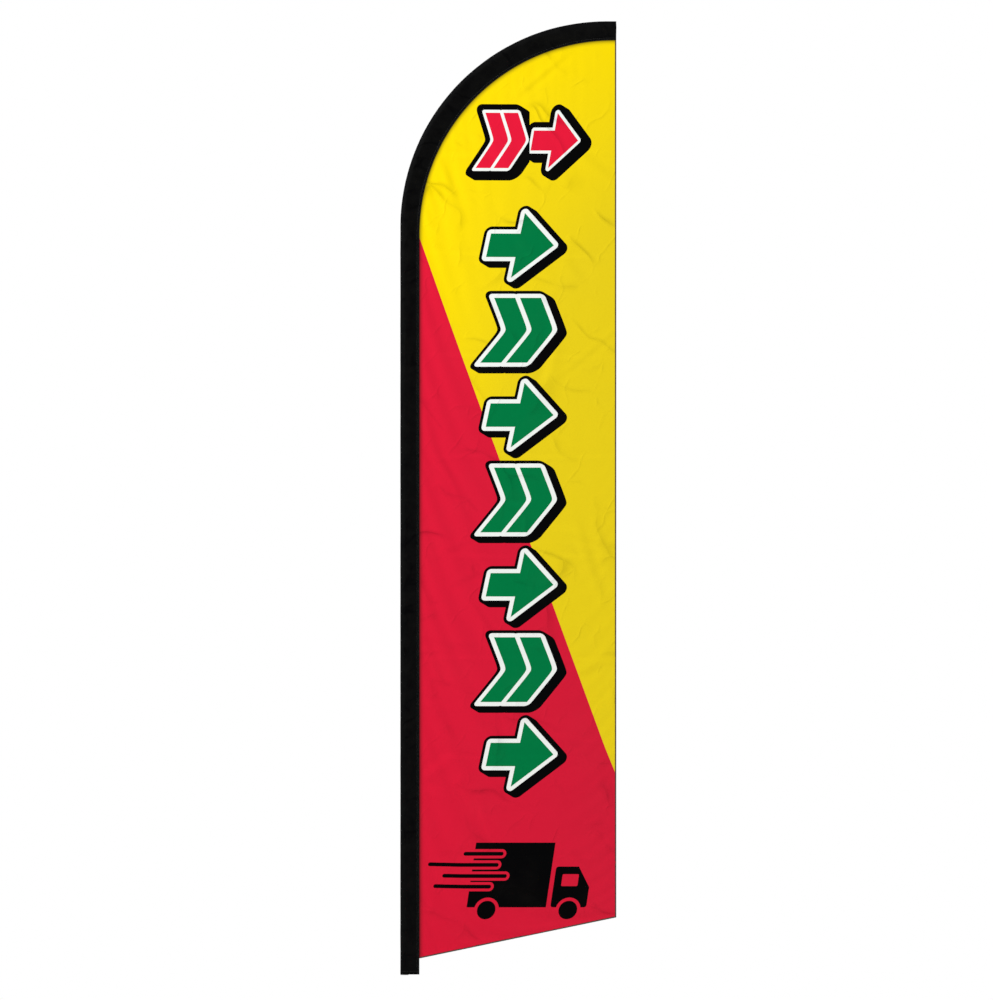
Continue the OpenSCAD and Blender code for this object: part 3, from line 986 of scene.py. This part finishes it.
def chevron_distance(x, up, round_up):
    """Two chevrons that point along x. round_up is up with its fold rounded, for the tips."""
    high, reach = SIGN_H / 2, SIGN_W * 0.3
    lean = math.atan2(reach, high)
    bend = (x + round_up * math.tan(lean)) * math.cos(lean)
    front = (SIGN_W / 2) * math.cos(lean) - CHEVRON
    over = up - high
    both = None
    for middle in (front, front - 2 * CHEVRON - CHEVRON_GAP):
        wide = abs(bend - middle) - CHEVRON
        one = from_line(wide.most(0.0), over.most(0.0)) + wide.most(over).least(0.0)
        both = one if both is None else both.least(one)
    return both


def sign_group():
    """A block arrow where Kind is 0 and a double chevron where it is 1, as a distance."""
    tree, inside = new_group("sign", {"X": "Float", "Z": "Float", "Kind": "Float"}, {"Distance": "Float"})
    x, z, kind = (Measure(tree, inside[k]) for k in ("X", "Z", "Kind"))
    x = x - z * SIGN_LEAN
    up = abs(z)
    round_up = (z * z + (9 * MM) ** 2).math("SQRT")
    shape = arrow_distance(x, up) * (1.0 - kind) + chevron_distance(x, up, round_up) * kind
    add(tree, "NodeGroupOutput", Distance=shape)
    return tree


def block(x, z, left, right, low, high, corner=3 * MM):
    """A rectangle as a distance."""
    wide = abs(x - (left + right) / 2) - (right - left) / 2
    tall = abs(z - (low + high) / 2) - (high - low) / 2
    return wide.rounded_most(tall, corner)


def disc(x, z, middle_x, middle_z, radius):
    return from_line(x - middle_x, z - middle_z) - radius


def bar(x, z, left, right, middle_z, radius):
    """A line with round ends."""
    beyond = (abs(x - (left + right) / 2) - (right - left) / 2).most(0.0)
    return from_line(z - middle_z, beyond) - radius


sign = sign_group()
print("sign", round(SIGN_W, 3), "by", round(SIGN_H, 3))

# %% Where everything in the print goes
WHITE_LINE = 15 * MM
PAIR_WHITE_LINE = 9 * MM
BLACK_LINE = 26 * MM
SHADOW = (23 * MM, -14 * MM)
SHADOW_STEPS = 4
COLUMN_X = trail_x - 348 * MM
COLUMN_TOP = top_z - 821 * MM
COLUMN_STEP = 312 * MM
COLUMN_COUNT = 7
PAIR_Z = top_z - 437 * MM
PAIR_X = trail_x - 318 * MM
PAIR_STEP = 188 * MM
PAIR_WIDE = 0.7
PAIR_TALL = 0.85
ROW_SHIFT = 7 * MM
PAIR_FROM = COLUMN_TOP + COLUMN_STEP / 2 + ROW_SHIFT
SPLIT_LEFT = top_z - 795 * MM
SPLIT_RIGHT = end_z + 732 * MM


def sign_places(x, z):
    """Each point's place beside its own sign, how wide and tall that sign is, and its kind."""
    above = z.math("GREATER_THAN", PAIR_FROM)
    row = ((COLUMN_TOP - z - ROW_SHIFT) / COLUMN_STEP).math("ROUND").most(0.0).least(COLUMN_COUNT - 1.0)
    column_z = z - COLUMN_TOP + row * COLUMN_STEP
    second = x.math("GREATER_THAN", PAIR_X)
    pair_x = (x - (PAIR_X - PAIR_STEP / 2)) - second * PAIR_STEP
    wide = above * (PAIR_WIDE - 1.0) + 1.0
    tall = above * (PAIR_TALL - 1.0) + 1.0
    beside_x = ((x - COLUMN_X) * (1.0 - above) + pair_x * above) / wide
    beside_z = (column_z * (1.0 - above) + (z - PAIR_Z) * above) / tall
    kind = row.math("MODULO", 2.0) * (1.0 - above) + (1.0 - second) * above
    return beside_x, beside_z, wide, tall, kind, above


def van(x, z):
    """A plain box van with four stripes behind it, as a distance."""
    low = end_z + 250 * MM
    x = x - (z - low) * 0.15
    left = edge_x + 176 * MM
    body = block(x, z, left, left + 292 * MM, low, low + 238 * MM)
    cab = block(x, z, left + 308 * MM, left + 440 * MM, low, low + 150 * MM, 16 * MM)
    nose = (x - (left + 412 * MM)) * 0.84 + (z - (low + 118 * MM)) * 0.54
    cab = cab.most(nose)
    window = block(x, z, left + 336 * MM, left + 396 * MM, low + 78 * MM, low + 122 * MM, 8 * MM)
    shape = body.least(cab).most(-window)
    for wheel_x in (left + 74 * MM, left + 374 * MM):
        rim = disc(x, z, wheel_x, low - 10 * MM, 34 * MM)
        shape = shape.most(12 * MM - rim).least(rim)
    for back, front, height in ((33, 100, 197), (160, 88, 156), (100, 124, 115), (128, 72, 76)):
        line = bar(x, z, left - back * MM, left + front * MM, low + height * MM, 7 * MM)
        shape = shape.most(10 * MM - line).least(line)
    return shape


print("rows of signs", COLUMN_COUNT, "step", COLUMN_STEP)

# %% [markdown]
# ## Ink on the cloth
#
# Dye goes into knitted polyester and shows on both sides, a little paler on the back. So one group
# makes the printed colour, and the two sides differ only in how far it fades. Beside the seam a soft
# shadow of the sleeve is painted into the cloth's colour.

# %% The print as one group
YELLOW = srgb(252, 222, 2)
# Darker copies of the yellow and the red, for painted shade where the lamps' light falls off.
YELLOW_SHADED = srgb(234, 208, 26)
RED = srgb(222, 26, 56)
RED_SHADED = srgb(212, 29, 56)
GREEN = srgb(0, 120, 65)
SIGN_RED = srgb(230, 26, 58)
INK_BLACK = srgb(4, 4, 5)
INK_WHITE = srgb(242, 246, 242)
# The colour of the painted shadow beside the seam.
SEAM_SHADOW_PAINT = srgb(34, 26, 18)
PALE_BACK = srgb(238, 238, 232)
SEAM_SHADOW_WIDTH = 20 * MM


def print_group():
    tree, inside = new_group("flag_print", {"Place": "Vector", "Fade": "Float"}, {"Color": "Color"})
    x, z, _ = split(tree, inside["Place"])
    split_z = SPLIT_LEFT + (x - edge_x) * ((SPLIT_RIGHT - SPLIT_LEFT) / (trail_x - edge_x))
    is_red = (z - split_z).below(0.0)
    # Painted shade: the fields darken to the right, and the yellow also towards the bottom.
    across = ((x - edge_x) / (trail_x - edge_x)).most(0.0).least(1.0)
    painted_falloff = (across * (top_z - z) * 1.4).least(1.0)
    field = mix(tree, is_red, mix(tree, painted_falloff, YELLOW, YELLOW_SHADED), mix(tree, across, RED, RED_SHADED))

    beside_x, beside_z, wide, tall, kind, above = sign_places(x, z)

    def sign_at(share):
        dx, dz = SHADOW[0] * share, SHADOW[1] * share
        there = use(tree, sign, X=beside_x - dx / wide, Z=beside_z - dz / tall, Kind=kind)
        return there[0] * wide

    here = sign_at(0)
    shadow = here
    for step in range(1, SHADOW_STEPS + 1):
        shadow = shadow.least(sign_at(step / SHADOW_STEPS))
    face = mix(tree, above, GREEN, SIGN_RED)
    colour = mix(tree, shadow.below(BLACK_LINE), field, INK_BLACK)
    white_line = here.below((1.0 - above) * WHITE_LINE + above * PAIR_WHITE_LINE)
    colour = mix(tree, white_line, colour, INK_WHITE)
    colour = mix(tree, here.below(0.0), colour, face)
    colour = mix(tree, van(x, z).below(0.0), colour, INK_BLACK)

    # Painted shadow of the sleeve: the colour darkens towards the seam over its last 20 mm.
    bend_d = edge_r - disc(x, z, edge_mid.x, edge_mid.y, 0.0)
    in_bend = x.below(edge_mid.x) * z.math("GREATER_THAN", edge_mid.y)
    seam_d = bend_d * in_bend + (x - edge_x).least(edge_top - z) * (1.0 - in_bend)
    shade = (1.0 - seam_d / SEAM_SHADOW_WIDTH).most(0.0).least(1.0)
    colour = mix(tree, shade * shade * 0.75, colour, SEAM_SHADOW_PAINT)
    add(tree, "NodeGroupOutput", Color=mix(tree, inside["Fade"], colour, PALE_BACK))
    return tree


flag_print = print_group()
print("print nodes", len(flag_print.nodes))

# %% Printed cloth, front and back
KNIT_WALE = 1.1 * MM
CREASE_RISE = 4.6 * MM


def printed_cloth(name, fade):
    """Knitted polyester with the print in it."""
    finish, tree, skin = new_finish(name, Roughness=0.72, Sheen_Weight=0.008, Sheen_Roughness=0.5,
                                    Specular_IOR_Level=0.018)
    place = map_place(tree, "cut")
    ink = use(tree, flag_print, Place=place, Fade=fade)[0]
    loops, gaps = use(tree, knit, Place=place, Wale=KNIT_WALE)
    specks = use(tree, dust, Place=place, Size=5.0)[0]
    wide = use(tree, crumple, Place=place, Size=0.19, Turn=math.radians(32))[0]
    fine = use(tree, crumple, Place=place, Size=0.09, Turn=math.radians(-58))[0]
    # Painted shade in the tiny gaps between the knit's loops.
    colour = mix(tree, gaps * 0.22, ink, srgb(14, 12, 10))
    colour = mix(tree, specks * 0.01, colour, srgb(120, 110, 92))
    # Painted shade along the pressed creases, on top of their bump.
    colour = mix(tree, (wide + fine * 0.3) * 0.12, colour, srgb(8, 7, 5))
    rumple = shade_node(tree, "TexNoise", Vector=place, Scale=60.0, Detail=3.0)
    knitted = bumped(tree, loops * 0.12 + rumple * 0.6, 0.35, 0.4 * MM)
    creased = bumped(tree, wide + fine * 0.25, 1.0, CREASE_RISE, Normal=knitted)
    fill(tree, skin, Base_Color=colour, Normal=creased)
    return finish


panel_mesh.materials.append(printed_cloth("printed_cloth", 0.0))
panel_mesh.materials.append(printed_cloth("printed_cloth_back", 0.14))
thicken(panel, PANEL_CLOTH).material_offset = 1
print("panel materials", [m.name for m in panel_mesh.materials])

# %% Sleeve cloth and thread
RIB = 0.9 * MM


def sleeve_finish():
    """Black polyester with fine ribs and a faint sheen."""
    finish, tree, skin = new_finish("black_sleeve_cloth", Sheen_Weight=0.008, Sheen_Roughness=0.4,
                                    Specular_IOR_Level=0.05)
    place, body = map_place(tree, "strip"), own_place(tree)
    rib_place = vector_of(tree, *split(tree, place)[:2], 0.0)
    ribs = use(tree, twill, Place=rib_place, Rib=RIB)[0]
    handled = use(tree, dust, Place=body, Size=9.0)[0]
    creases = use(tree, crumple, Place=place, Size=0.06, Turn=math.radians(40))[0]
    soft = shade_node(tree, "TexNoise", Vector=body, Scale=26.0, Detail=4.0, Roughness=0.65)
    # Painted light and shade on the wrinkles: the colour follows the bump's height, lighter where raised
    # and darker in the creases, plus some handling wear.
    wrinkle_shade_and_wear = (soft * 1.6 - 0.45 + handled * 0.3 - creases * 0.9).most(0.0).least(1.0)
    fill(tree, skin, Base_Color=mix(tree, wrinkle_shade_and_wear, srgb(0, 0, 1), srgb(14, 14, 13)),
         Roughness=handled * 0.12 + 0.62,
         Normal=bumped(tree, ribs * 0.08 + soft * 1.6 - creases, 0.8, 1.0 * MM))
    return finish


def thread_finish(name, colour, pale):
    """Twisted sewing thread."""
    finish, tree, skin = new_finish(name, Roughness=0.55, Sheen_Weight=0.3)
    body = own_place(tree)
    twist = add(tree, "ShaderNodeTexWave", {"bands_direction": "DIAGONAL"}, Vector=body, Scale=900.0,
                Distortion=1.5).outputs[1]
    share = Measure(tree, twist) * 0.35 + use(tree, dust, Place=body, Size=40.0)[0] * 0.3
    fill(tree, skin, Base_Color=mix(tree, share, colour, pale), Normal=bumped(tree, twist, 0.4, 0.1 * MM))
    return finish


black_cloth = sleeve_finish()
black_thread = thread_finish("black_thread", srgb(22, 22, 23), srgb(58, 57, 56))
edge_thread = thread_finish("edge_thread", srgb(40, 28, 20), srgb(92, 72, 54))
for piece in (sleeve, hem):
    piece.data.materials.append(black_cloth)


def patch_finish():
    """The same cloth on the patch, which has no strip map, read from where it is."""
    finish, tree, skin = new_finish("black_patch_cloth", Sheen_Weight=0.02, Specular_IOR_Level=0.07)
    _, y, z = split(tree, own_place(tree))
    place = vector_of(tree, y, z, 0.0)
    ribs = use(tree, twill, Place=place, Rib=RIB)[0]
    handled = use(tree, dust, Place=place, Size=60.0)[0]
    fill(tree, skin, Base_Color=mix(tree, handled * 0.6, srgb(9, 9, 10), srgb(24, 23, 22)),
         Roughness=handled * 0.1 + 0.65, Normal=bumped(tree, ribs, 0.5, 0.3 * MM))
    return finish


patch.data.materials.append(patch_finish())
print("cloths and threads done")

# %% [markdown]
# ## Sewing the seam and the edges
#
# The seam is sewn twice, and both rows show on the front and on the back. The lines to sew along are
# taken from the finished pieces: the sleeve's flap for the seam, and the settled cloth's own edges
# for the binding, so the threads follow the folds.

# %% Seam stitches
SIDES = {"front": -1, "back": 1}
STRAIGHT = {"Step": 3.4 * MM, "Length": 2.7 * MM, "Reach": 0.0, "Rise": 0.5 * MM,
            "Thread radius": 0.24 * MM}
SEAM_ROWS = (2.6 * MM, 8.6 * MM)
SEAM_SPOT = 12 * MM
SEAM_START, SEAM_STOP = 2 * MM, 4 * MM


def seam_line(from_edge, side):
    """A line on the sleeve's flap, from_edge in from its edge. side is -1 for the front."""
    depth = side * (PINCH + SLEEVE_CLOTH / 2 + 0.05 * MM)
    line = []
    for k in range(round(path_l / SEAM_SPOT) + 1):
        place, way_in = path_at(min(k * SEAM_SPOT + SEAM_START, path_l - SEAM_STOP))
        spot = place + way_in * (edge_reach(place, way_in) - from_edge)
        line.append((spot.x, depth, spot.y))
    return line


seam_threads = [
    sew("seam_stitches_" + word, straight_stitch, [seam_line(row, side) for row in SEAM_ROWS],
        (0, side, 0), black_thread, STRAIGHT)
    for word, side in SIDES.items()
]

# %% Hem stitches round the sleeve's open end
HEM_ROW = HEM_H - 2.5 * MM
POINTS_PAST_POLE = 6


def hem_line(height):
    """A ring on the outside of the sleeve, height above its end, front flap to back flap."""
    place, way_in = path_at(height)
    ring = drop_section(edge_reach(place, way_in), outer_r + 0.1 * MM, PINCH + SLEEVE_CLOTH / 2)
    return [(place.x + p.x, p.y, place.y) for p in ring]


def hem_rings():
    """The hem's stitches are flat on each side, so the ring is sewn as a front and a back half."""
    ring = hem_line(HEM_ROW)
    half = len(ring) // 2
    return ring[1 : half - POINTS_PAST_POLE], ring[half + POINTS_PAST_POLE + 1 : -1]


hem_threads = [
    sew("hem_stitches_" + word, straight_stitch, [half_ring], (0, side, 0), black_thread, STRAIGHT)
    for (word, side), half_ring in zip(SIDES.items(), hem_rings())
]

# %% Binding along the cloth's free edges
BINDING_W = 4.0 * MM
BINDING_T = 0.65 * MM
LOOP = {"Step": 2.6 * MM, "Length": 2.2 * MM, "Reach": 2.4 * MM, "Rise": 0.85 * MM,
        "Thread radius": 0.3 * MM}


def edge_points(numbers):
    return [Vector((flat + moved)[n]) for n in numbers]


def binding(name, line, outwards):
    """A bar of packed thread over an edge, as a closed mesh along the edge's line."""
    near = [(-BINDING_W, 0.45 * MM), (-BINDING_W * 0.8, BINDING_T), (0, BINDING_T), (0.5 * MM, 0.35 * MM)]
    outline = near + [(out, -depth) for out, depth in near[::-1]]
    width = len(outline)
    points = [tuple(p + outwards * out + Vector((0, depth, 0))) for p in line for out, depth in outline]
    faces = strip_faces(len(line), width, closed=True)
    faces.append(tuple(range(width))[::-1])
    faces.append(tuple((len(line) - 1) * width + k for k in range(width)))
    made = make_piece(name, points, faces=faces)
    for face in made.data.polygons:
        face.use_smooth = len(face.vertices) == 4
    made.data.materials.append(edge_thread)
    return made


trailing_edge = [p for p in edge_points(trailing_line) if p.z < edge_top - 1 * MM]
bottom_edge = edge_points(bottom_line)
down = Vector((bottom_slope, 0, -1)).normalized()
trailing_bar = binding("trailing_binding", trailing_edge, Vector((1, 0, 0)))
bottom_bar = binding("bottom_binding", bottom_edge, down)
trailing_loops, bottom_loops = (
    sew(name, edge_loop, [line], (0, -1, 0), edge_thread, LOOP)
    for name, line in (("trailing_loops", trailing_edge), ("bottom_loops", bottom_edge))
)

# %% [markdown]
# ## Metal, plastic and rubber
#
# The hard parts keep the shapes they were packed with and only get finishes. The pole is drawn
# aluminium, so its grain runs along it. The metals all share that grain along z, nylon is slightly
# uneven and scuffed, and glass fibre shows its strands under a clear resin.

# %% Finishes for the hard parts
def metal(name, colour, worn, rough, grain_fineness, uneven):
    """Metal with drawn grain. worn is the colour where it has been handled."""
    finish, tree, skin = new_finish(name, Metallic=1.0)
    body = own_place(tree)
    lines = use(tree, grain, Place=body, Fineness=grain_fineness)[0]
    handled = use(tree, dust, Place=body, Size=30.0)[0]
    fill(tree, skin, Base_Color=mix(tree, handled * 0.6, colour, worn),
         Roughness=lines * uneven + handled * 0.15 + rough, Normal=bumped(tree, lines, 0.25, 0.05 * MM))
    return finish


def moulded(name, colour, dusty, rough, speck):
    """Moulded plastic or rubber with a fine skin texture and some dust."""
    finish, tree, skin = new_finish(name, Specular_IOR_Level=0.4)
    body = own_place(tree)
    pores = shade_node(tree, "TexNoise", Vector=body, Scale=speck, Detail=3.0)
    dirt = use(tree, dust, Place=body, Size=45.0)[0]
    fill(tree, skin, Base_Color=mix(tree, dirt * 0.25, colour, dusty), Roughness=dirt * 0.2 + rough,
         Normal=bumped(tree, pores, 0.3, 0.08 * MM))
    return finish


def glass_fibre():
    """Pale strands along the rod, under a clear resin coat."""
    finish, tree, skin = new_finish("glass_fibre", Coat_Weight=0.5, Coat_Roughness=0.15)
    strands = use(tree, grain, Place=own_place(tree), Fineness=1500.0)[0]
    fill(tree, skin, Base_Color=mix(tree, strands, srgb(206, 210, 198), srgb(236, 238, 230)),
         Roughness=strands * 0.2 + 0.3)
    return finish


steel = metal("turned_steel", srgb(186, 187, 190), srgb(132, 128, 122), 0.28, 900.0, 0.2)
spring_steel = metal("blued_spring_steel", srgb(98, 102, 116), srgb(70, 64, 60), 0.3, 1300.0, 0.2)
aluminium = metal("drawn_aluminium", srgb(206, 208, 210), srgb(168, 168, 166), 0.3, 1100.0, 0.25)
nickel = metal("nickel_plate", srgb(214, 210, 202), srgb(150, 140, 124), 0.14, 700.0, 0.08)
nylon = moulded("natural_nylon", srgb(226, 223, 208), srgb(170, 162, 142), 0.45, 900.0)
rubber = moulded("black_rubber", srgb(24, 24, 25), srgb(74, 70, 64), 0.7, 1500.0)
fibre = glass_fibre()

FINISHES = {
    steel: ("spindle", "retaining_washer", "lower_button", "upper_button", "anchor_button"),
    spring_steel: ("retaining_ring", "lower_button_spring", "upper_button_spring", "anchor_button_spring"),
    aluminium: ("bottom_tube", "middle_tube", "tip_ferrule"),
    nickel: ("grommet_eyelet", "grommet_washer"),
    nylon: ("thrust_washer", "rotor_sleeve"),
    rubber: ("tip_cap",),
    fibre: ("tip_rod",),
}
for finish, names in FINISHES.items():
    for name in names:
        nodes[name].data.materials.clear()
        nodes[name].data.materials.append(finish)
print("hard parts finished", sum(len(names) for names in FINISHES.values()))

# %% [markdown]
# ## Putting it on the pole
#
# Every soft piece rides on the pole and stands for the plain solid that was packed in its place.

# %% Ride and replace
soft_pieces = {
    panel: ("printed_cloth", "flag_panel"),
    sleeve: ("sleeve_cloth", "pole_sleeve", "sleeve_bend"),
    hem: ("sleeve_cloth",),
    patch: ("sleeve_cloth", "sleeve_end_patch"),
    trailing_bar: ("edge_thread", "trailing_overlock"),
    bottom_bar: ("edge_thread", "bottom_overlock"),
    trailing_loops: ("edge_thread",),
    bottom_loops: ("edge_thread",),
}
for piece in seam_threads + hem_threads:
    soft_pieces[piece] = ("sleeve_cloth",)
for piece, (slot, *stands_for) in soft_pieces.items():
    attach(piece, "pole")
    if stands_for:
        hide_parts(*stands_for)
